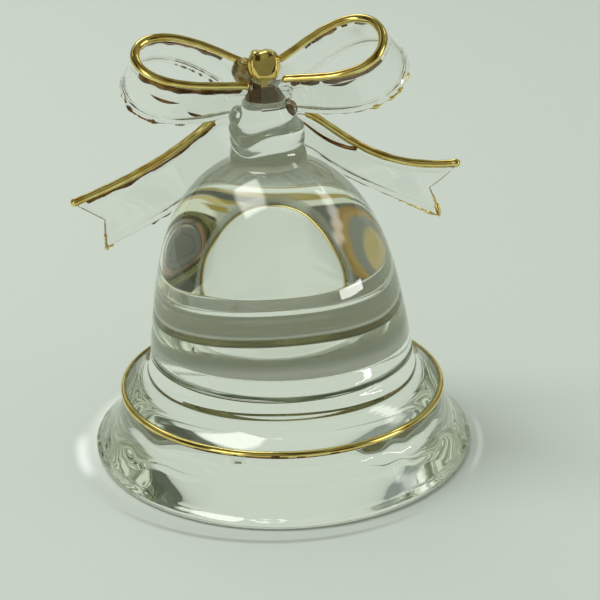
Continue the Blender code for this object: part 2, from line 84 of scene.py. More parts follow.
# Steps of the meshes: round the bell, along the ribbons' edges and across their gold films
BELL_STEPS = 320
LOOP_STEPS = 240
TAIL_STEPS = 160
FILM_STEPS = 3

# Points of a mesh that lie closer than this are one
WELD_DISTANCE = 1e-7

# Places of the color sockets on a mix node, which has others of the same names
MIX_COLOR_SOCKETS = (6, 7)
MIX_COLOR_RESULT = 2

# The hot glass was pressed a little out of round
DOME_DEPTH = 0.953
# Reach, height and tallness of a swell
BACK_SWELL = (-0.78 * MM, 26.5 * MM, 9.3 * MM)
FRONT_SWELL = (0.73 * MM, 41.6 * MM, 8.2 * MM)
# Turn, span, height, tallness and drop of the collar's slump
COLLAR_SLUMP = (radians(-128), radians(30), 60 * MM, 2.6 * MM, 2.4 * MM)
# Grooves: depth in millimetres, rise above the waist or the table, and tallness
WAIST_GROOVE = (0.42, 0.3 * MM, 0.5 * MM)
EDGE_GROOVE = (0.26, 1.9 * MM, 0.3 * MM)

# An edge of a loop has its reach, height and opening, where it starts and its fullness
LOOPS = {
    "left": {
        "side": -1, "root": 2.76 * MM, "up": -1.35 * MM, "rise": radians(25.6), "sweep": radians(19.8),
        "upper": (19.77 * MM, 6.99 * MM, 4.75 * MM, 0.0, 1.40),
        "lower": (18.82 * MM, 10.43 * MM, 5.27 * MM, 2.35 * MM, 0.99),
    },
    "right": {
        "side": 1, "root": 3.32 * MM, "up": -0.53 * MM, "rise": radians(28.6), "sweep": radians(-25.7),
        "upper": (18.04 * MM, 8.73 * MM, 4.75 * MM, 0.0, 1.40),
        "lower": (20.03 * MM, 11.0 * MM, 5.27 * MM, 0.0, 0.99),
    },
}
# An edge of a tail runs from the first point to the last, drawn towards the two between, in
# millimetres in the bow's frame
TAILS = {
    "left": {
        "upper": ((-3.0, 5.2, -11.4), (-11.57, 8.0, -6.67), (-6.7, 9.0, -15.2), (-35.49, 3.0, -23.61)),
        "lower": ((-2.5, 4.5, -15.5), (-20.42, 17.0, -30.55), (-11.32, 15.0, -27.68), (-30.6, 2.5, -32.48)),
        "notch": 2.6 * MM, "gilt": 0.22,
    },
    "right": {
        "upper": ((3.0, 5.0, -11.0), (8.82, 6.5, -6.14), (13.13, 6.5, -22.64), (32.91, 3.0, -20.6)),
        "lower": ((2.5, 4.5, -15.5), (12.32, 15.0, -22.53), (4.43, 13.5, -21.62), (29.86, 3.5, -30.68)),
        "notch": 3.3 * MM, "gilt": 0.14,
    },
}
TAIL_END_ROUND = 0.7 * MM

# Fine gold on lower edges: side, first and last share, size, material and the node it stands for
LOOP_FINE_LINES = (
    ("left", 0.485, 0.735, 1.5, "brown", "gilt_loop_left_lower"),
    ("left", 0.772, 0.792, 1.2, "brown", None),
    ("left", 0.125, 0.265, 1.25, "brown", None),
    ("right", 0.55, 0.735, 1.5, "gold", "gilt_loop_right_lower"),
    ("right", 0.74, 0.89, 0.7, "brown", None),
    ("right", 0.42, 0.545, 0.6, "brown", None),
)
# The same for the tails, where a last share above 1 runs round the tip into the notch
TAIL_FINE_LINES = (
    ("left", 0.47, 0.735, 0.9, "olive", "gilt_tail_left_lower"),
    ("left", 0.97, 1.05, 1.3, "gold", None),
    ("right", 0.31, 0.77, 0.8, "olive", None),
    ("right", 0.78, 1.08, 1.3, "gold", "gilt_tail_right_lower"),
)
# Flecks of film on the near face of a loop: side, first share and place across, then the last ones
FLECKS = (
    ("left", (0.66, 0.31), (0.75, 0.36)),
    ("left", (0.78, 0.56), (0.83, 0.67)),
    ("left", (0.58, 0.78), (0.60, 0.84)),
    ("right", (0.71, 0.16), (0.80, 0.20)),
)

# Facets of the knot: the way each one faces and its distance from the middle in millimetres
NUGGET_FACETS = tuple((Vector(normal).normalized(), reach) for normal, reach in (
    ((0.08, -0.95, 0.28), 2.35), ((-0.64, -0.48, -0.60), 2.75), ((0.45, -0.45, -0.77), 2.85),
    ((-0.85, -0.1, 0.5), 3.0), ((0.85, -0.2, 0.48), 3.1), ((0.0, -0.72, -0.70), 2.8),
))
# Lumps of glass at the roots of the ribbons: centre and sizes in millimetres in the bow's frame
LUMPS = (
    ((-3.6, 0.8, -0.9), (1.9, 1.7, 2.5)),
    ((-4.9, -0.6, -8.6), (1.7, 2.0, 2.2)),
    ((4.0, -1.0, -7.4), (1.3, 1.4, 1.6)),
    ((3.4, 1.6, -4.6), (1.4, 1.6, 1.8)),
)

# The camera as fitted to the photograph
CAMERA_PLACE = Vector((0.0, -282.6, 149.68)) * MM
CAMERA_PAN = radians(0.716)
CAMERA_DOWN = radians(23.378)
CAMERA_ROLL = radians(-0.972)
CAMERA_LENS = 101.45

# The table top: its size, how far it is moved back and how far it lies below the foot
TABLE_SIZE = 1.4
TABLE_SHIFT = 0.2
TABLE_DROP = 0.02 * MM
FLOOR_COLOR = (0.575, 0.641, 0.562)

# Painted light and shade on the table round and under the foot, in place of the light that its
# glass throws: radius and half width, turn and half span in degrees, then the color
PAINTED_LIGHT_CENTRE = Vector((-1.2, 0.0, 0.0)) * MM
PAINTED_LIGHT_ON_TABLE = (
    # Under the foot, seen through its glass: painted shade, then painted light in the middle and near the
    # rim
    (22.0 * MM, 11.0 * MM, 90, 180, (0.60, 0.645, 0.49)),
    (5.0 * MM, 12.0 * MM, 90, 180, (0.95, 0.98, 0.86)),
    (33.0 * MM, 4.5 * MM, 90, 150, (0.95, 1.0, 0.90)),
    # Round the front a painted shadow and a darker painted shadow line, then painted glows at the left and
    # the right
    (36.8 * MM, 3.0 * MM, -100, 95, (0.53, 0.59, 0.515)),
    (38.3 * MM, 0.9 * MM, -95, 50, (0.39, 0.43, 0.36)),
    (36.5 * MM, 2.1 * MM, 190, 16, (0.88, 0.94, 0.88)),
    (38.1 * MM, 0.9 * MM, -8, 20, (0.76, 0.82, 0.74)),
)

# Clear glass with a faint olive tint
GLASS_INDEX = 1.5625
GLASS_COLOR = (0.985, 0.992, 0.97)
GLASS_TINT = (0.93, 1.0, 0.75)
GLASS_TINT_DENSITY = 2.5

# The room round the bell, seen in glass and gold only
PALE_ROOM = (0.60, 0.66, 0.585)
DIM_ROOM = (0.33, 0.36, 0.28)
GOLD_ROOM = (0.20, 0.21, 0.15)
# The light that falls on everything else
EVEN_LIGHT = (0.49, 0.49, 0.49)
# What reaches the table through the glass
TABLE_LIGHT = (0.60, 0.61, 0.55)
# Patches of the room: azimuth, elevation, width, height and softness in degrees, then the color
THROUGH_GLASS = (
    (-145, 17, 20, 14, 3, (0.22, 0.26, 0.24)),
    (146, 15, 16, 14, 3, (0.06, 0.075, 0.05)),
    (176, 56, 20, 18, 4, (0.50, 0.55, 0.43)),
    (147, 37, 10, 16, 3, (0.58, 0.63, 0.48)),
    (146, 26, 12, 9, 2, (0.035, 0.04, 0.02)),
    (155, 38, 6, 5, 2, (0.26, 0.21, 0.04)),
    (157, 45, 5, 6, 2, (0.42, 0.36, 0.14)),
    (162, 49.5, 4, 10, 2, (0.24, 0.20, 0.04)),
    (169, 53.5, 12, 9, 3, (0.062, 0.067, 0.05)),
    (-179, 60, 8, 4, 2, (0.29, 0.24, 0.07)),
    (171, 59.5, 7, 3, 2, (0.28, 0.23, 0.06)),
    (-167, 47, 8, 10, 2, (0.085, 0.09, 0.065)),
    (-162, 45.5, 4, 9, 1, (0.20, 0.13, 0.02)),
    (-160, 43, 2.5, 8, 1, (0.26, 0.18, 0.04)),
    (-157, 40, 3.5, 8, 1.5, (0.15, 0.165, 0.13)),
    (-153, 38, 3.5, 8, 1.5, (0.34, 0.29, 0.12)),
)
IN_GOLD = (
    (-50, 54, 40, 20, 8, (0.65, 0.68, 0.55)),
    (0, 20, 60, 26, 10, (0.50, 0.54, 0.42)),
    (60, 42, 40, 34, 8, (0.34, 0.35, 0.25)),
    (-152, 46, 34, 26, 8, (0.36, 0.34, 0.21)),
    (-130, 80, 70, 20, 6, (0.05, 0.04, 0.02)),
    (-105, 38, 34, 26, 5, (0.012, 0.01, 0.004)),
    (-113, 17, 16, 14, 4, (0.02, 0.018, 0.008)),
    (162, 44, 22, 26, 5, (0.05, 0.03, 0.01)),
    (140, 10, 18, 46, 4, (0.02, 0.015, 0.006)),
    (83, 2, 12, 36, 3, (0.015, 0.015, 0.006)),
    (-18, 50, 20, 26, 4, (2.2, 2.2, 1.9)),
    (-142, 12, 20, 44, 4, (1.9, 1.9, 1.6)),
    (106, 8, 24, 46, 4, (1.9, 1.9, 1.6)),
    (52, 48, 14, 8, 3, (2.2, 2.2, 1.9)),
)
ON_GLASS = (
    (-104, 71, 34, 23, 5, (7.5, 7.7, 7.0)),
    (60, 45, 12, 9, 6, (5.0, 5.0, 4.7)),
    (69, 41, 12, 9, 6, (5.0, 5.0, 4.7)),
    (78, 36.5, 12, 9, 6, (5.0, 5.0, 4.7)),
    (87, 32, 12, 9, 6, (5.0, 5.0, 4.7)),
    (96, 27, 12, 9, 6, (5.0, 5.0, 4.7)),
    (106, -1.8, 28, 4.4, 1, (11.0, 11.0, 10.5)),
)
# Lamps: name, azimuth, elevation, distance, sizes and power
LAMPS = (
    ("key", -84, 63, 1.3, (0.70, 0.74), 9.9),
    ("side", 97, 12, 1.3, (0.60, 0.20), 1.2),
    ("back", -16, 54, 1.4, (0.30, 0.5), 1.3),
)

# Dents pressed in the glass: turn in degrees from the front, then height, width, tallness and
# depth in millimetres
DENTS = (
    (-3, 13.3, 2.6, 0.55, 0.16), (2, 12.8, 1.2, 0.35, 0.12), (6, 13.2, 1.6, 0.4, 0.1),
    (-17, 8.2, 2.0, 0.9, 0.14), (-25, 6.7, 2.6, 0.9, 0.16), (-15, 9.4, 1.6, 0.4, 0.08),
    (-1, 8.9, 2.2, 0.45, 0.07), (-19, 4.6, 2.2, 1.2, 0.10),
    (31, 8.4, 3.4, 2.2, 0.30), (37, 5.6, 2.8, 1.6, -0.18),
    (27, 6.4, 1.6, 0.9, -0.16), (44, 7.2, 2.4, 2.6, 0.16),
    (-47, 7.0, 4.0, 3.0, 0.22), (-58, 5.0, 3.0, 2.0, -0.18), (62, 6.0, 3.4, 2.4, -0.15),
)


# Small helpers

def lean_shift(height):
    """How far the bell's middle stands to the side at this height."""
    return -LEAN * max(0.0, height - WAIST_HEIGHT)


def clamp(value, low=0.0, high=1.0):
    return min(max(value, low), high)


def bell_curve(distance, width):
    return exp(-(distance / width) ** 2)


def wrapped(angle):
    """The same angle between minus and plus half a turn."""
    return (angle + pi) % (2 * pi) - pi


def bezier_point(handles, share):
    start, first, second, end = handles
    rest = 1 - share
    return (start * rest ** 3 + first * 3 * rest ** 2 * share
            + second * 3 * rest * share ** 2 + end * share ** 3)


def bezier(handles, points, ease=1.0):
    """Points along the curve, closer together towards its end where ease is above 1."""
    handles = [Vector(handle) for handle in handles]
    return [bezier_point(handles, 1 - (1 - i / points) ** ease) for i in range(points + 1)]


def arc(centre, radius, start, end, points):
    """Points along an arc of a circle from one angle to the other."""
    turns = [start + (end - start) * i / points for i in range(points + 1)]
    return [Vector((centre[0] + radius * cos(a), centre[1] + radius * sin(a))) for a in turns]


def even_points(path, count):
    """The same path with its points at equal distances."""
    lengths = [0.0]
    for before, after in zip(path, path[1:]):
        lengths.append(lengths[-1] + (after - before).length)
    points = []
    place = 0
    for i in range(count + 1):
        target = lengths[-1] * i / count
        while place < len(path) - 2 and lengths[place + 1] < target:
            place += 1
        span = max(lengths[place + 1] - lengths[place], 1e-12)
        points.append(path[place].lerp(path[place + 1], (target - lengths[place]) / span))
    return points


def new_object(name, mesh):
    piece = bpy.data.objects.new(name, mesh)
    bpy.context.scene.collection.objects.link(piece)
    return piece


def weld(mesh, outward=False):
    """Joins points that lie on one another and, where asked, turns all faces outward."""
    shape = bmesh.new()
    shape.from_mesh(mesh)
    bmesh.ops.remove_doubles(shape, verts=shape.verts, dist=WELD_DISTANCE)
    if outward:
        bmesh.ops.recalc_face_normals(shape, faces=shape.faces)
    shape.to_mesh(mesh)
    shape.free()
    mesh.shade_smooth()


def shape_from(name, points, faces):
    mesh = bpy.data.meshes.new(name)
    mesh.from_pydata([tuple(point) for point in points], [], faces)
    weld(mesh, outward=True)
    return new_object(name, mesh)


def grid_faces(rows, row, closed=False):
    """Faces between neighbouring rows of points; closed rows run all the way round."""
    faces = []
    for i in range(rows - 1):
        for k in range(row if closed else row - 1):
            j = (k + 1) % row
            faces.append((i * row + k, i * row + j, (i + 1) * row + j, (i + 1) * row + k))
    return faces


def cut_off(piece, place, onward):
    """Takes away all that lies beyond the plane through place."""
    shape = bmesh.new()
    shape.from_mesh(piece.data)
    everything = list(shape.verts) + list(shape.edges) + list(shape.faces)
    bmesh.ops.bisect_plane(shape, geom=everything, plane_co=place, plane_no=onward, clear_outer=True)
    shape.to_mesh(piece.data)
    shape.free()


def final_mesh(piece):
    bpy.context.view_layer.update()
    graph = bpy.context.evaluated_depsgraph_get()
    return bpy.data.meshes.new_from_object(piece.evaluated_get(graph))


def bake(piece):
    """Turns the piece's modifiers into mesh."""
    mesh = final_mesh(piece)
    piece.modifiers.clear()
    piece.data = mesh


def thicken(piece, thickness):
    wall = piece.modifiers.new("Wall", "SOLIDIFY")
    wall.thickness = thickness
    bake(piece)


# The bell

def glass_outline():
    """The bell and its stem in one outline (radius, height), from the top down."""
    stem_top = KNOT_HEIGHT - KNOT_SIZE.z / 2 + 1.2 * MM
    rim_height = BELL_HEIGHT + 4.0 * MM
    rim = arc((5.7 * MM, rim_height - 0.9 * MM), 0.9 * MM, radians(55), 0, 8)
    cone = bezier(((2.1 * MM, stem_top), (3.1 * MM, stem_top - 2.6 * MM),
                   (rim[0].x - 1.2 * MM, rim[0].y + 1.2 * MM), rim[0]), 24)
    joint = BELL_HEIGHT + 0.15 * MM
    groove = 0.12 * MM
    collar = [Vector((NECK_RADIUS - share * groove, joint + rise * MM)) for share, rise in (
        (0, 1.2), (0.2, 0.6), (1, 0.15), (1, -0.15), (0.2, -0.6))]
    neck_foot = Vector((NECK_RADIUS + 0.3 * MM, BELL_HEIGHT - NECK_HEIGHT))
    waist = (WAIST_RADIUS, WAIST_HEIGHT)
    dome = bezier((neck_foot, neck_foot + Vector((13.78, -6.09)) * MM,
                   (WAIST_RADIUS - 2.2 * MM, WAIST_HEIGHT + 13.84 * MM), waist), 110, 1.6)
    seat = arc((RING_RADIUS, RING_HEIGHT), 0.5 * MM, radians(118), radians(262), 6)
    cove = bezier((waist, (WAIST_RADIUS, WAIST_HEIGHT - 2.5 * MM),
                   seat[0] + Vector((-3.4, 1.5)) * MM, seat[0]), 44)
    foot = FOOT_RADIUS - 0.12 * MM
    edge_top = Vector((foot, 1.3 * MM))
    flare = bezier((seat[-1], seat[-1] + Vector((1.2, -4.7)) * MM,
                    edge_top + Vector((-3.6, 3.5)) * MM, edge_top), 60, 1.6)
    edge = arc((foot - 0.8 * MM, 0.8 * MM), 0.8 * MM, 0, -pi / 2, 12)
    outline = [Vector((0.0, stem_top))] + cone + rim[1:] + collar + dome
    for part in (cove, seat, flare, edge):
        outline.extend(part[1:])
    return outline + [Vector((0.0, 0.0))]


def unevenness(turn, height):
    """How far the hot glass stands proud of its turned form here."""
    around = Vector((cos(turn), sin(turn), 0))
    slow = noise.noise(around * 1.3 + Vector((0, 0, height / MM / 9)))
    fast = noise.noise(around * 6.0 + Vector((4, 0, height / MM / 2.2)))
    skirt = max(0.0, 1 - height / WAIST_HEIGHT)
    edge = max(0.0, 1 - abs(height - 1.6 * MM) / (1.4 * MM))
    ripple = noise.noise(around * 15.0 + Vector((0, 7, height / MM / 1.5)))
    proud = (0.03 + 0.07 * skirt) * slow + 0.045 * skirt * fast + 0.09 * edge * ripple
    depth, rise, tall = WAIST_GROOVE
    deeper = 0.8 + 0.2 * sin(turn * 2 + 1)
    groove = depth * bell_curve(height - WAIST_HEIGHT - rise, tall) * deeper
    depth, rise, tall = EDGE_GROOVE
    broken = clamp(0.5 + 1.8 * noise.noise(around * 7.0 + Vector((1, 5, 2))))
    groove += depth * bell_curve(height - rise, tall) * broken
    for degrees, at, width, tall, depth in DENTS:
        angle = wrapped(turn + pi / 2 - radians(degrees))
        if abs(angle) < 0.5:
            across = bell_curve(angle * FOOT_RADIUS, width * MM)
            proud -= depth * across * bell_curve(height - at * MM, tall * MM)
    return (proud - groove) * MM


def dome_point(radius, turn, height):
    """A point of the bell, which leans and isn't quite round."""
    back = max(0.0, sin(turn)) ** 2
    front = max(0.0, -sin(turn)) ** 2
    for side, (reach, at, tall) in ((back, BACK_SWELL), (front, FRONT_SWELL)):
        radius += reach * side * bell_curve(height - at, tall)
    middle, span, at, tall, drop = COLLAR_SLUMP
    slump = bell_curve(wrapped(turn - middle), span) * bell_curve(height - at, tall)
    height -= drop * slump
    share = clamp((height / MM - 16) / 6) * clamp((BELL_HEIGHT - height) / (6 * MM))
    depth = 1 + (DOME_DEPTH - 1) * share
    return Vector((radius * cos(turn) + lean_shift(height), radius * sin(turn) * depth, height))


def revolved(name, outline, steps):
    """The outline turned round the axis, with its unevenness and lean."""
    points = []
    faces = []
    for point in outline:
        loose = min(1.0, point.x / NECK_RADIUS) * min(1.0, point.y / MM)
        for k in range(steps):
            turn = 2 * pi * k / steps
            radius = point.x
            if loose and point.y < BELL_HEIGHT:
                radius = max(radius + unevenness(turn, point.y) * loose, 0.0)
            points.append(dome_point(radius, turn, point.y))
    for i in range(len(outline) - 1):
        for k in range(steps):
            j = (k + 1) % steps
            faces.append((i * steps + k, (i + 1) * steps + k, (i + 1) * steps + j, i * steps + j))
    return shape_from(name, points, faces)


# The ribbons

def bow_matrix():
    """From the bow's own frame, with the knot's middle at its origin, to the bell's."""
    across = lean_shift(KNOT_HEIGHT) + KNOT_SIDESTEP
    turn = Matrix.Rotation(-LEAN, 4, "Y")
    return Matrix.Translation((across, 0, KNOT_HEIGHT)) @ turn


BOW = bow_matrix()


def loop_axes(loop):
    """The ways along a loop, across its opening and over its width."""
    outward = Vector((loop["side"], 0, 0))
    back = Vector((0, cos(LOOP_TILT), sin(LOOP_TILT)))
    width = Vector((0, -sin(LOOP_TILT), cos(LOOP_TILT)))
    length = outward * cos(loop["rise"]) + back * sin(loop["rise"])
    spread = back * cos(loop["rise"]) - outward * sin(loop["rise"])
    sweep = Matrix.Rotation(loop["sweep"], 3, "Z")
    return sweep @ length, sweep @ spread, sweep @ width


def loop_edge(loop, edge, first=0.0, last=1.0, points=160):
    """One edge of a loop, or the part of it between two shares of the way round."""
    length, spread, width = loop_axes(loop)
    reach, height, opening, start, fullness = loop[edge]
    root = Vector((loop["side"] * loop["root"], 0, loop["up"])) + start * length
    if edge == "lower":
        root = root - LOOP_WIDTH * width

    def swell(turn):
        return sin(turn) * abs(sin(turn / 2)) ** fullness

    widest = max(swell(pi * i / 180) for i in range(180))
    path = []
    for i in range(points + 1):
        turn = 2 * pi * (first + (last - first) * i / points)
        out = reach * (1 - cos(turn)) / 2
        side = opening / 2 * cos(turn / 2) + height / 2 * swell(turn) / widest
        path.append(root + length * out + spread * side)
    return path


def on_edge(edge, share):
    count = len(edge) - 1
    place = share * count
    i = min(int(place), count - 1)
    return edge[i].lerp(edge[i + 1], place - i)


def half_thickness(from_bead):
    """Half a ribbon's thickness at this distance from the nearer bead."""
    fuller = bell_curve(from_bead, BEAD_FADE)
    return SHEET_HALF_THICKNESS + (BEAD_HALF_THICKNESS - SHEET_HALF_THICKNESS) * fuller


def on_sheet(upper, lower, share, across):
    """A point on the middle sheet between two edges, clear of the round of its beads."""
    top = on_edge(upper, share)
    foot = on_edge(lower, share)
    over = (foot - top).normalized()
    start = top + over * (UPPER_INSET + BEAD_HALF_THICKNESS)
    end = foot - over * (LOWER_INSET + BEAD_HALF_THICKNESS)
    return start.lerp(end, across)


def ribbon_section(rows):
    """Round a ribbon's section: the place across, the turn on a bead and the face, 1 or -1."""
    rungs = [(1 - cos(pi * r / rows)) / 2 for r in range(rows + 1)]
    turns = [pi * r / 6 for r in range(1, 6)]
    return ([(share, 0.0, 1) for share in rungs] + [(1.0, turn, 1) for turn in turns]
            + [(1 - share, 0.0, -1) for share in rungs] + [(0.0, turn, -1) for turn in turns])


def ribbon_point(station, share, section, closing):
    """A point on a ribbon's surface; closing thins the ribbon towards its end."""
    across, turn, face = section
    step = 1e-3
    here = station(share, across)
    ahead = station(min(share + step, 1.0), across) - station(max(share - step, 0.0), across)
    over = station(share, 1.0) - station(share, 0.0)
    breadth = over.length
    over.normalize()
    normal = ahead.cross(over).normalized()
    if turn:
        rounding = over * (face * sin(turn)) + normal * (face * cos(turn))
        return here + rounding * BEAD_HALF_THICKNESS * closing
    from_bead = min(across, 1 - across) * breadth
    return here + normal * face * half_thickness(from_bead) * closing


def ribbon_glass(name, station, count, rows=10, end_round=0.0):
    """A closed glass ribbon. station(share, across) gives a point on its middle sheet."""
    sections = ribbon_section(rows)
    size = len(sections)
    points = []
    for i in range(count + 1):
        share = i / count
        closing = 1.0
        if end_round:
            left = (1 - share) / end_round
            closing = max(1 - (1 - min(left, 1.0)) ** 2, 0.0) ** 0.5
        points.extend(BOW @ ribbon_point(station, share, section, closing) for section in sections)
    faces = grid_faces(count + 1, size, closed=True)
    faces.append(tuple(range(size)))
    faces.append(tuple(range(count * size, (count + 1) * size)))
    return shape_from(name, points, faces)


def loop_ribbon(word, loop):
    """The glass of a loop, with both its ends led on into the knot."""
    inner = loop["side"] * -0.6 * MM
    edges = []
    for edge in ("upper", "lower"):
        path = loop_edge(loop, edge)
        ends = [Vector((inner, point.y, point.z)) for point in (path[0], path[-1])]
        edges.append(even_points([ends[0]] + path + [ends[1]], LOOP_STEPS))

    def station(share, across):
        return on_sheet(*edges, share, across)

    return ribbon_glass("loop_glass_" + word, station, 150)


def tail_edges(tail):
    """The upper and the lower edge of a tail, from its root to its tip."""
    handles = [[Vector(point) * MM for point in tail[edge]] for edge in ("upper", "lower")]
    return [even_points(bezier(curve, TAIL_STEPS), TAIL_STEPS) for curve in handles]


def edge_length(edge):
    return sum((after - before).length for before, after in zip(edge, edge[1:]))


def tail_length(edges):
    return (edge_length(edges[0]) + edge_length(edges[1])) / 2


def tail_reach(length, notch, across):
    """The share of a tail's length at which its V-cut end lies, at this place across."""
    return 1 - notch / length * (1 - abs(2 * across - 1))


def tail_ribbon(word, tail):
    edges = tail_edges(tail)
    length = tail_length(edges)

    def station(share, across):
        return on_sheet(*edges, share * tail_reach(length, tail["notch"], across), across)

    return ribbon_glass("tail_glass_" + word, station, 90, rows=14, end_round=TAIL_END_ROUND / length)


# The knot and the lumps beside it

def nugget_shape(point):
    """Moves a point of a plain round block to the knot's own lumpy, faceted form."""
    size = KNOT_SIZE / 2
    low = max(0.0, -point.z / size.z)
    point.x *= 1 - 0.30 * low ** 1.3
    for normal, reach in NUGGET_FACETS:
        beyond = point.dot(normal) - reach * MM
        if beyond > 0:
            point = point - normal * beyond * 0.85
    if point.z > 0:
        point.z -= 0.28 * MM * bell_curve(point.x + 0.5 * MM, 0.6 * MM) * point.z / size.z
    lump = noise.noise(point / MM * 0.55 + Vector((3, 1, 2)))
    return point * (1 + 0.05 * lump - 0.02)


def nugget(name, scale, segments):
    """The knot's lumpy block about its own middle."""
    bpy.ops.mesh.primitive_cube_add(size=1)
    block = bpy.context.object
    block.name = name
    block.data.transform(Matrix.Diagonal((*KNOT_SIZE, 1)))
    bevel = block.modifiers.new("Round", "BEVEL")
    bevel.width = KNOT_ROUND
    bevel.segments = segments
    bevel.limit_method = "NONE"
    finer = block.modifiers.new("Finer", "SUBSURF")
    finer.levels = 1
    bake(block)
    for vertex in block.data.vertices:
        vertex.co = nugget_shape(vertex.co) * scale
    return block


def knot_glass():
    core = nugget("knot_glass", 0.96, 8)
    core.data.transform(BOW)
    core.data.update()
    return core


def droplet(name, centre, sizes):
    """A lump of glass left where the pieces were fused, in the bow's own frame."""
    bpy.ops.mesh.primitive_ico_sphere_add(subdivisions=4, radius=1)
    drop = bpy.context.object
    drop.name = name
    for vertex in drop.data.vertices:
        grain = noise.noise(vertex.co * 1.4 + Vector(centre))
        vertex.co *= 1 + 0.13 * grain
        vertex.co = Vector((vertex.co.x * sizes[0], vertex.co.y * sizes[1], vertex.co.z * sizes[2])) * MM
        vertex.co += Vector(centre) * MM
    drop.data.transform(BOW)
    return drop


# All the glass as one piece

def unite(base, others):
    """Fuses the others into the base, which keeps its name."""
    for other in others:
        union = base.modifiers.new("Fuse", "BOOLEAN")
        union.operation = "UNION"
        union.solver = "EXACT"
        union.object = other
    bake(base)
    for other in others:
        bpy.data.objects.remove(other, do_unlink=True)
    base.data.shade_smooth()
    base.data.set_sharp_from_angle(angle=radians(70))


def make_glass():
    """All the clear glass, fused into one closed mesh."""
    bell = revolved("bell_glass", glass_outline(), BELL_STEPS)
    others = [knot_glass()]
    others.extend(droplet("lump_%d" % i, *lump) for i, lump in enumerate(LUMPS))
    for word in ("left", "right"):
        others.append(loop_ribbon(word, LOOPS[word]))
        others.append(tail_ribbon(word, TAILS[word]))
    unite(bell, others)
    return bell


# Round lines and how their gold varies

def round_end(last, before, radius, share):
    """Stations that close a line with a round end beyond its last point."""
    onward = (last - before).normalized()
    turns = (pi / 10, pi / 5, 3 * pi / 10, 2 * pi / 5, 0.47 * pi)
    return [(last + onward * radius * share * sin(a), share * cos(a)) for a in turns]


def tube(name, path, radius, shares, sides=4, placing=BOW):
    """A round line with round ends; shares gives its radius share at each point."""
    start = round_end(path[0], path[1], radius, shares[0])
    end = round_end(path[-1], path[-2], radius, shares[-1])
    stations = start[::-1] + list(zip(path, shares)) + end
    curve = bpy.data.curves.new(name, "CURVE")
    curve.dimensions = "3D"
    curve.bevel_depth = radius
    curve.bevel_resolution = sides
    curve.use_fill_caps = True
    spline = curve.splines.new("POLY")
    spline.points.add(len(stations) - 1)
    for place, (point, share) in zip(spline.points, stations):
        place.co = (*(placing @ point), 1.0)
        place.radius = share
    guide = new_object(name + "_path", curve)
    mesh = final_mesh(guide)
    bpy.data.objects.remove(guide, do_unlink=True)
    weld(mesh)
    return new_object(name, mesh)


def wavy(path, depth=0.08, waves=9.0):
    """Shares of radius that vary a little, as gold laid by hand does."""
    count = len(path) - 1
    return [1 - depth / 2 + depth / 2 * sin(waves * i / count * 2 * pi)
            * sin(2.3 * waves * i / count) for i in range(count + 1)]


def torn(path, seed):
    """Shares of radius for a broken line of gold that comes and goes."""
    shares = []
    for i in range(len(path)):
        slow = noise.noise(Vector((i * 0.11, seed, 2)))
        fast = noise.noise(Vector((i * 0.45, seed, 9)))
        shares.append(clamp(0.75 + 1.1 * slow + 0.45 * fast, 0.25, 1.25))
    return shares


def fuller_at_bend(shares):
    """The gold is broader round the outer bend of a loop."""
    count = len(shares) - 1
    return [share * (1 + 0.22 * bell_curve(i / count - 0.52, 0.14)) for i, share in enumerate(shares)]


# The painted shade line in the fold, and the gold

def painted_fold_shade_line():
    """A dark tube of painted shade where the foot of the dome is folded over the cove."""
    path = []
    shares = []
    for k in range(361):
        turn = 2 * pi * k / 360
        around = Vector((cos(turn), sin(turn), 0))
        wander = noise.noise(around * 2.2 + Vector((3, 3, 0)))
        place = WAIST_HEIGHT + PAINTED_SHADE_RISE + 0.35 * MM * wander
        radius = WAIST_RADIUS + unevenness(turn, place) - 0.02 * MM
        path.append(dome_point(radius, turn, place))
        shares.append(0.85 + 0.5 * noise.noise(around * 3.1 + Vector((0, 8, 4))) - 0.35 * abs(cos(turn)))
    return tube("painted_fold_shade_line", path, PAINTED_SHADE_RADIUS, shares, 3, Matrix.Identity(4))


def loop_gold(word):
    """The bead of gold along a loop's upper edge."""
    path = even_points(loop_edge(LOOPS[word], "upper"), 150)
    shares = fuller_at_bend(wavy(path))
    for point, share in zip(path, shares):
        point.z -= LOOP_GILT_RADIUS * max(share - 0.99, 0)
    return tube("loop_gold_" + word, path, LOOP_GILT_RADIUS, shares)


def tail_gold(word):
    """The bead of gold along a tail's upper edge, fuller at its tip."""
    first = TAILS[word]["gilt"]
    upper = tail_edges(TAILS[word])[0]
    path = [on_edge(upper, first + (1 - first) * i / 110) for i in range(111)]
    shares = wavy(path, 0.1, 6.0)
    for i in range(101, 111):
        shares[i] += 0.11 * (i - 100) / 10
    return tube("tail_gold_" + word, path, TAIL_GILT_RADIUS, shares)


def strand_gold():
    """The fine strand that crosses the right tail's near face."""
    upper, lower = tail_edges(TAILS["right"])
    path = []
    for i in range(50):
        share = 0.08 + 0.37 * i / 49
        across = 0.31 - 5.1 * (share - 0.24) ** 2
        top = on_edge(upper, share)
        down = on_edge(lower, share) - top
        onward = on_edge(upper, share + 0.01) - top
        normal = onward.cross(down).normalized()
        if normal.y > 0:
            normal = -normal
        path.append(top.lerp(on_edge(lower, share), across) + normal * BEAD_HALF_THICKNESS)
    shares = [0.6 + 0.9 * i / 49 for i in range(50)]
    return tube("tail_strand_gold", path, FINE_GILT_RADIUS, shares, 3)


def make_gold():
    """The gold beads, each with its look and the node that it stands for."""
    pieces = []
    for word in ("left", "right"):
        pieces.append((loop_gold(word), "gold", "gilt_loop_" + word))
        pieces.append((tail_gold(word), "gold", "gilt_tail_" + word + "_upper"))
    pieces.append((strand_gold(), "brown", "gilt_tail_right_inner"))
    return pieces


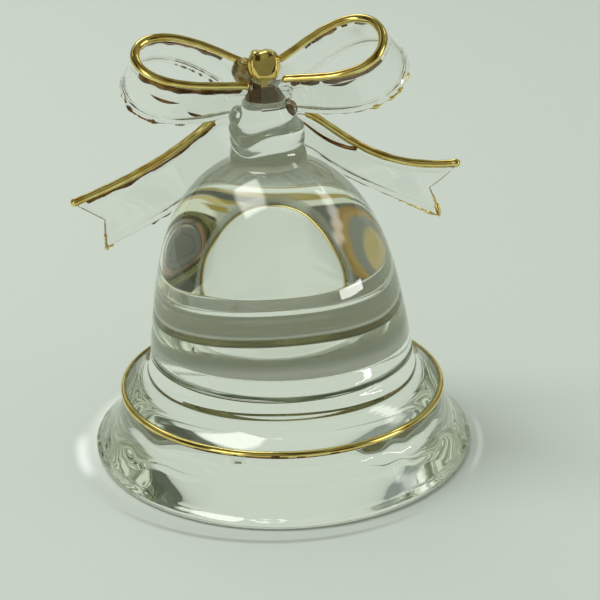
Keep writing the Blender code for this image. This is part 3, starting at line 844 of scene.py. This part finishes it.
def tail_lower_path(word, first, last):
    """Along a tail's lower edge and, past its tip, up into the V-cut."""
    tail = TAILS[word]
    upper, lower = tail_edges(tail)
    length = tail_length((upper, lower))
    path = []
    for k in range(61):
        share = first + (last - first) * k / 60
        across = 1.0 - max(share - 1.0, 0.0) * 4
        place = min(share, tail_reach(length, tail["notch"], across))
        path.append(on_edge(upper, place).lerp(on_edge(lower, place), across))
    return path


def make_fine_gold():
    """Short torn lines of gold along the lower edges of the ribbons."""
    pieces = []
    for i, (word, first, last, size, look, node) in enumerate(LOOP_FINE_LINES):
        path = loop_edge(LOOPS[word], "lower", first, last, 60)
        line = tube("loop_fine_gold_%d" % i, path, FINE_GILT_RADIUS * size, torn(path, i * 3.7), 3)
        pieces.append((line, look, node))
    for i, (word, first, last, size, look, node) in enumerate(TAIL_FINE_LINES):
        path = tail_lower_path(word, first, last)
        line = tube("tail_fine_gold_%d" % i, path, FINE_GILT_RADIUS * size, torn(path, i * 5.3 + 1), 3)
        pieces.append((line, look, node))
    return pieces


# Gold films on the ribbons, the cone and the lump

def towards(tops, feet):
    return [(foot - top).normalized() for top, foot in zip(tops, feet)]


def film_strip(name, edge, over, widths, face):
    """A ragged strip of thin gold film on one face of a ribbon, beside its bead."""
    points = []
    count = len(edge)
    for i in range(count):
        onward = edge[min(i + 1, count - 1)] - edge[max(i - 1, 0)]
        normal = onward.cross(over[i]).normalized() * face
        for k in range(FILM_STEPS + 1):
            down = FILM_START + (FILM_LEAST_WIDTH + widths[i]) * k / FILM_STEPS
            lift = half_thickness(max(down - BEAD_REACH, 0.0)) + FILM_LIFT
            points.append(BOW @ (edge[i] + over[i] * down + normal * lift))
    strip = shape_from(name, points, grid_faces(count, FILM_STEPS + 1))
    thicken(strip, FILM_WALL)
    return strip


def ragged(count, low, high, seed):
    """Film widths along an edge, in metres, with a torn rim."""
    widths = []
    for i in range(count):
        slow = noise.noise(Vector((i * 0.06, seed, 0)))
        fast = noise.noise(Vector((i * 0.55, seed, 5)))
        widths.append(MM * max(0.0, low + (high - low) * (0.5 + slow) + 0.08 * fast))
    return widths


def loop_film(word, part, first, last, face, low, high, seed):
    tops = loop_edge(LOOPS[word], "upper", first, last, 150)
    feet = loop_edge(LOOPS[word], "lower", first, last, 150)
    widths = ragged(len(tops), low, high, seed + face)
    return film_strip("loop_film_%s_%s" % (word, part), tops, towards(tops, feet), widths, face)


def tail_film(word, seed):
    tops, feet = ([on_edge(edge, 0.2 + 0.75 * i / 130) for i in range(131)]
                  for edge in tail_edges(TAILS[word]))
    widths = ragged(131, -0.15, 0.5, seed + 3)
    return film_strip("tail_film_" + word, tops, towards(tops, feet), widths, 1)


def cone_film():
    """Gold film on the back of the cone under the knot, seen through the glass."""
    lowest = BELL_HEIGHT + 4.4 * MM
    outline = [point for point in glass_outline() if point.y > lowest and point.x > 2 * MM]
    points = []
    turns, rises = 48, 20
    for k in range(turns + 1):
        turn = radians(-5 + 128 * k / turns)
        rim = noise.noise(Vector((k * 0.21, 3, 1)))
        cut = (0.10 + 0.25 * abs(2 * k / turns - 1) ** 2 + 0.12 * rim) * len(outline)
        row = [point for i, point in enumerate(outline) if i < len(outline) - cut]
        points.extend(dome_point(place.x + FILM_WALL, turn, place.y) for place in even_points(row, rises))
    film = shape_from("cone_film", points, grid_faces(turns + 1, rises + 1))
    thicken(film, FILM_WALL)
    return film


def lump_film():
    """Gold film on the back of the lump at the knot's left."""
    centre, sizes = LUMPS[0]
    film = droplet("lump_film", centre, [size * 1.03 for size in sizes])
    cut_off(film, BOW @ (Vector(centre) * MM), (0.1, -1, 0.25))
    thicken(film, FILM_WALL)
    film.data.shade_smooth()
    return film


def fleck(name, word, start, end):
    """A short fleck of film on a loop's near face, widest in its middle."""
    tops = loop_edge(LOOPS[word], "upper", start[0], end[0], 30)
    feet = loop_edge(LOOPS[word], "lower", start[0], end[0], 30)
    edge = []
    for k, (top, foot) in enumerate(zip(tops, feet)):
        across = start[1] + (end[1] - start[1]) * k / 30
        edge.append(top.lerp(foot, across))
    widths = [MM * (0.75 * sin(pi * k / 30) - 0.35) for k in range(31)]
    return film_strip(name, edge, towards(tops, feet), widths, -1)


def make_films():
    pieces = []
    for word, seed in (("left", 1.0), ("right", 8.0)):
        pieces.append(loop_film(word, "far", 0.16, 0.48, 1, 0.4, 1.5, seed))
        pieces.append(loop_film(word, "near", 0.60, 0.95, -1, 0.65, 1.2, seed))
        pieces.append(tail_film(word, seed))
    pieces.append(cone_film())
    pieces.append(lump_film())
    pieces.extend(fleck("fleck_%d" % i, *place) for i, place in enumerate(FLECKS))
    return pieces


# The shoulder ring and the knot's cap

def make_ring():
    bpy.ops.mesh.primitive_torus_add(
        major_radius=RING_RADIUS, minor_radius=RING_ROD_RADIUS,
        major_segments=256, minor_segments=20)
    ring = bpy.context.object
    ring.name = "ring_gold"
    for vertex in ring.data.vertices:
        turn = Vector((vertex.co.x, vertex.co.y)).angle_signed(Vector((1, 0)), 0)
        swell = 1 + 0.06 * sin(5 * turn + 1.0) + 0.04 * sin(11 * turn)
        centre = Vector((vertex.co.x, vertex.co.y, 0)).normalized() * RING_RADIUS
        vertex.co = centre + (vertex.co - centre) * min(swell, 1.0)
        vertex.co.z += RING_HEIGHT
    ring.data.shade_smooth()
    return ring


def lustre_and_painted_reflection(ring, lustre, shade):
    """The ring's side in the glass shows the film's dull back; its lower side is brown in places: a painted
    reflection.
    """
    ring.data.materials.append(lustre)
    ring.data.materials.append(shade)
    for face in ring.data.polygons:
        around = Vector((face.center.x, face.center.y))
        outward = around.length - RING_RADIUS
        upward = face.center.z - RING_HEIGHT
        around = around.normalized()
        # Patchy noise that places the painted dark reflection on the lower side
        patchy = noise.noise(Vector((around.x * 3.1, around.y * 3.1, 6)))
        patchy += 0.5 * noise.noise(around.to_3d() * 14)
        if outward < 0.1 * abs(upward):
            face.material_index = 1
        elif upward < RING_ROD_RADIUS * (0.75 * patchy - 0.1 - 0.35 * abs(around.x)):
            face.material_index = 2


def make_cap():
    """The knot's front half as a thin shell of gold."""
    cap = nugget("knot_gold", 1.0, 10)
    cut_off(cap, (0, CAP_BACK, 0), (0.25, 1, 0))
    cap.data.transform(BOW)
    thicken(cap, CAP_WALL)
    cap.data.shade_smooth()
    return cap


# Materials

def principled(name):
    """A new material and its node tree."""
    material = bpy.data.materials.new(name)
    material.use_nodes = True
    return material, material.node_tree


def noise_texture(tree, scale, detail):
    place = tree.nodes.new("ShaderNodeTexCoord")
    texture = tree.nodes.new("ShaderNodeTexNoise")
    texture.inputs["Scale"].default_value = scale
    texture.inputs["Detail"].default_value = detail
    tree.links.new(place.outputs["Object"], texture.inputs["Vector"])
    return texture.outputs["Fac"]


def spread(tree, source, low, high):
    """The source from 0 to 1 stretched to run from low to high."""
    scale = tree.nodes.new("ShaderNodeMapRange")
    scale.inputs["To Min"].default_value = low
    scale.inputs["To Max"].default_value = high
    tree.links.new(source, scale.inputs["Value"])
    return scale.outputs["Result"]


def bump(tree, shader, source, distance, strength):
    lift = tree.nodes.new("ShaderNodeBump")
    lift.inputs["Distance"].default_value = distance
    lift.inputs["Strength"].default_value = strength
    tree.links.new(source, lift.inputs["Height"])
    tree.links.new(lift.outputs["Normal"], shader.inputs["Normal"])


def glass_material():
    material, tree = principled("clear_glass")
    shader = tree.nodes["Principled BSDF"]
    shader.inputs["Base Color"].default_value = (*GLASS_COLOR, 1.0)
    shader.inputs["Transmission Weight"].default_value = 1.0
    shader.inputs["Roughness"].default_value = 0.0
    shader.inputs["IOR"].default_value = GLASS_INDEX
    tint = tree.nodes.new("ShaderNodeVolumeAbsorption")
    tint.inputs["Color"].default_value = (*GLASS_TINT, 1.0)
    tint.inputs["Density"].default_value = GLASS_TINT_DENSITY
    tree.links.new(tint.outputs["Volume"], tree.nodes["Material Output"].inputs["Volume"])
    waves = noise_texture(tree, 70.0, 1.0)
    bump(tree, shader, waves, 0.00025, 0.25)
    return material


def mottled(name, metallic, grain, dark, light, roughness):
    """Color and roughness from one noise; dark and light pair a noise value with a color."""
    material, tree = principled(name)
    shader = tree.nodes["Principled BSDF"]
    shader.inputs["Metallic"].default_value = metallic
    patches = noise_texture(tree, *grain)
    ramp = tree.nodes.new("ShaderNodeValToRGB")
    for stop, (value, color) in zip(ramp.color_ramp.elements, (dark, light)):
        stop.position = value
        stop.color = (*color, 1.0)
    tree.links.new(patches, ramp.inputs["Fac"])
    tree.links.new(ramp.outputs["Color"], shader.inputs["Base Color"])
    tree.links.new(spread(tree, patches, *roughness), shader.inputs["Roughness"])
    return material


def gold_material():
    material = mottled("fired_gold", 1.0, (320.0, 4.0), (0.32, (0.74, 0.50, 0.13)),
                       (0.55, (0.90, 0.74, 0.28)), (0.03, 0.10))
    tree = material.node_tree
    fine = noise_texture(tree, 700.0, 3.0)
    bump(tree, tree.nodes["Principled BSDF"], fine, 0.00004, 0.12)
    return material


def painted_fold_shade_material():
    """Painted shade: a nearly dark color in place of glass shaded by its fold."""
    return mottled("painted_fold_shade_glass", 0.0, (90.0, 3.0), (0.42, (0.045, 0.062, 0.028)),
                   (0.68, (0.20, 0.24, 0.15)), (0.12, 0.3))


def gold_back(name, dark, light):
    """The back of the gold film, and its thin ragged rim, seen through the glass."""
    return mottled(name, 1.0, (500.0, 4.0), (0.35, dark), (0.65, light), (0.15, 0.35))


def dress(piece, material, slot, *nodes):
    """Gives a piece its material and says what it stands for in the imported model."""
    piece.data.materials.clear()
    piece.data.materials.append(material)
    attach(piece, "root")
    if nodes:
        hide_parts(*nodes)


# Node sums for the table and the room

def maths(tree, operation, first, second=None):
    node = tree.nodes.new("ShaderNodeMath")
    node.operation = operation
    for socket, value in zip(node.inputs, (first, second)):
        if isinstance(value, (int, float)):
            socket.default_value = value
        elif value is not None:
            tree.links.new(value, socket)
    return node.outputs["Value"]


def vector_maths(tree, operation, first, second=(0, 0, 0)):
    node = tree.nodes.new("ShaderNodeVectorMath")
    node.operation = operation
    node.inputs[1].default_value = second
    tree.links.new(first, node.inputs[0])
    return node.outputs


def along_axis(tree, ray, axis):
    """How far the ray or place reaches along the axis."""
    return vector_maths(tree, "DOT_PRODUCT", ray, axis)["Value"]


def fade(tree, value, start, end):
    """A soft rise from 0 where value is at start to 1 where it is at end."""
    node = tree.nodes.new("ShaderNodeMapRange")
    node.interpolation_type = "SMOOTHSTEP"
    node.inputs["From Min"].default_value = start
    node.inputs["From Max"].default_value = end
    tree.links.new(value, node.inputs["Value"])
    return node.outputs["Result"]


def blended(tree, share, first, second):
    """The first color where share is 0 and the second where it is 1."""
    node = tree.nodes.new("ShaderNodeMix")
    node.data_type = "RGBA"
    tree.links.new(share, node.inputs["Factor"])
    for socket, value in zip(MIX_COLOR_SOCKETS, (first, second)):
        if isinstance(value, tuple):
            node.inputs[socket].default_value = (*value, 1.0)
        else:
            tree.links.new(value, node.inputs[socket])
    return node.outputs[MIX_COLOR_RESULT]


def table_with_painted_light(tree, place):
    """The table's color with pale and dark marks of painted light and shade, standing in for what the
    foot's glass throws round it.
    """
    place = vector_maths(tree, "SUBTRACT", place, PAINTED_LIGHT_CENTRE)["Vector"]
    radius = vector_maths(tree, "LENGTH", place)["Value"]
    color = FLOOR_COLOR
    for reach, half_width, turn, half_span, tint in PAINTED_LIGHT_ON_TABLE:
        onward = Vector((cos(radians(turn)), sin(radians(turn)), 0))
        ahead = maths(tree, "DIVIDE", along_axis(tree, place, onward), radius)
        span = fade(tree, ahead, cos(radians(half_span)), 1.0)
        apart = maths(tree, "ABSOLUTE", maths(tree, "SUBTRACT", radius, reach))
        line = fade(tree, apart, half_width, 0.0)
        color = blended(tree, maths(tree, "MULTIPLY", span, line), color, tint)
    return color


# The table, the camera and the room

def make_floor():
    bpy.ops.mesh.primitive_plane_add(size=TABLE_SIZE, location=(0, 0, -TABLE_DROP))
    floor = bpy.context.object
    floor.name = "floor"
    floor.data.transform(Matrix.Translation((0, TABLE_SHIFT, 0)))
    material, tree = principled("pale_table")
    shader = tree.nodes["Principled BSDF"]
    place = tree.nodes.new("ShaderNodeTexCoord").outputs["Object"]
    # The table's color carries painted light and shade round and under the foot
    color = table_with_painted_light(tree, place)
    tree.links.new(color, shader.inputs["Base Color"])
    shader.inputs["Roughness"].default_value = 0.7
    shader.inputs["Specular IOR Level"].default_value = 0.2
    floor.data.materials.append(material)


def make_camera():
    data = bpy.data.cameras.new("camera")
    camera = new_object("camera", data)
    pan = Vector((sin(CAMERA_PAN), cos(CAMERA_PAN), 0))
    forward = pan * cos(CAMERA_DOWN) - Vector((0, 0, sin(CAMERA_DOWN)))
    right = Vector((pan.y, -pan.x, 0))
    up = right.cross(forward)
    across = right * cos(CAMERA_ROLL) + up * sin(CAMERA_ROLL)
    upward = up * cos(CAMERA_ROLL) - right * sin(CAMERA_ROLL)
    turn = Matrix((across, upward, -forward)).transposed()
    camera.matrix_world = Matrix.Translation(CAMERA_PLACE) @ turn.to_4x4()
    data.sensor_width = 36
    data.lens = CAMERA_LENS
    data.clip_start = 0.01
    bpy.context.scene.camera = camera


def direction(azimuth, elevation):
    """A unit vector; azimuth 0 looks away from the camera's side, 90 to the right."""
    turn = radians(azimuth)
    rise = radians(elevation)
    return Vector((sin(turn) * cos(rise), cos(turn) * cos(rise), sin(rise)))


def room_patch(tree, ray, azimuth, elevation, width, height, soft):
    """Share 1 inside a rectangle of the room round the bell, in degrees, with soft edges."""
    centre = direction(azimuth, elevation)
    side = Vector((centre.y, -centre.x, 0)).normalized()
    top = side.cross(centre)
    ahead = maths(tree, "MAXIMUM", along_axis(tree, ray, centre), 0.001)
    share = None
    for axis, size in ((side, width), (top, height)):
        across = maths(tree, "DIVIDE", along_axis(tree, ray, axis), ahead)
        reach = maths(tree, "ABSOLUTE", across)
        half = radians(size / 2)
        edge = fade(tree, reach, half + radians(soft / 2), half - radians(soft / 2))
        share = edge if share is None else maths(tree, "MULTIPLY", share, edge)
    return share


def patched(tree, ray, color, patches):
    for azimuth, elevation, width, height, soft, tint in patches:
        share = room_patch(tree, ray, azimuth, elevation, width, height, soft)
        color = blended(tree, share, color, tint)
    return color


def make_world():
    """Each kind of ray meets its own room: through glass, in gold, on glass and all else."""
    world = bpy.data.worlds.new("studio")
    bpy.context.scene.world = world
    world.use_nodes = True
    tree = world.node_tree
    background = tree.nodes["Background"]
    ray = tree.nodes.new("ShaderNodeTexCoord").outputs["Generated"]
    near = fade(tree, along_axis(tree, ray, (0, -1, 0)), -0.15, 0.35)
    low = fade(tree, along_axis(tree, ray, (0, 0, 1)), 0.92, 0.78)
    dim = maths(tree, "MULTIPLY", near, low)
    room = blended(tree, dim, PALE_ROOM, DIM_ROOM)
    through = patched(tree, ray, room, THROUGH_GLASS)
    gilt = patched(tree, ray, GOLD_ROOM, IN_GOLD)
    polish = patched(tree, ray, blended(tree, low, PALE_ROOM, DIM_ROOM), ON_GLASS)
    light = tree.nodes.new("ShaderNodeLightPath").outputs
    mirrored = blended(tree, light["Is Singular Ray"], gilt, polish)
    table = maths(tree, "MINIMUM", light["Diffuse Depth"], 1.0)
    through = blended(tree, table, through, TABLE_LIGHT)
    color = blended(tree, light["Is Glossy Ray"], EVEN_LIGHT, mirrored)
    color = blended(tree, light["Is Transmission Ray"], color, through)
    color = blended(tree, light["Is Camera Ray"], color, FLOOR_COLOR)
    tree.links.new(color, background.inputs["Color"])
    background.inputs["Strength"].default_value = 1.0


def make_lights():
    middle = Vector((0, 0, 30 * MM))
    for name, azimuth, elevation, distance, size, power in LAMPS:
        data = bpy.data.lights.new(name, "AREA")
        data.shape = "RECTANGLE"
        data.size, data.size_y = size
        data.energy = power
        lamp = new_object(name, data)
        lamp.location = middle + direction(azimuth, elevation) * distance
        lamp.rotation_mode = "QUATERNION"
        lamp.rotation_quaternion = (middle - lamp.location).to_track_quat("-Z", "Y")
        lamp.visible_glossy = False
        lamp.visible_transmission = False


def deepen_light_paths():
    """Thick glass turns light many times before it leaves."""
    cycles = bpy.context.scene.cycles
    cycles.max_bounces = 40
    cycles.glossy_bounces = 32
    cycles.transmission_bounces = 32


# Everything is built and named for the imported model

glass = make_glass()
dress(glass, glass_material(), "clear_glass", "bell_body", "bow_stem", "bow_knot",
      "bow_loop_left", "bow_loop_right", "bow_tail_left", "bow_tail_right")
looks = {
    "gold": gold_material(),
    "brown": gold_back("brown_lustre", (0.10, 0.045, 0.012), (0.34, 0.17, 0.05)),
    "olive": gold_back("olive_lustre", (0.20, 0.18, 0.07), (0.36, 0.33, 0.16)),
    "amber": gold_back("amber_lustre", (0.24, 0.15, 0.04), (0.58, 0.44, 0.18)),
}
# The tube of painted shade in the fold, hidden from rays through and on the glass
painted_fold_shade = painted_fold_shade_line()
painted_fold_shade.visible_transmission = False
painted_fold_shade.visible_glossy = False
dress(painted_fold_shade, painted_fold_shade_material(), "clear_glass")
for piece, look, node in make_gold() + make_fine_gold():
    dress(piece, looks[look], "gilding", *([node] if node else []))
ring = make_ring()
dress(ring, looks["gold"], "gilding", "gilt_shoulder_ring")
# The ring's lower side gets a painted dark reflection in brown
lustre_and_painted_reflection(ring, looks["olive"], looks["brown"])
dress(make_cap(), looks["gold"], "gilding", "gilt_knot_cap")
for piece in make_films():
    dress(piece, looks["amber" if piece.name == "lump_film" else "brown"], "gilding")
make_floor()
make_camera()
make_world()
make_lights()
deepen_light_paths()
bpy.context.scene.view_settings.view_transform = "Standard"
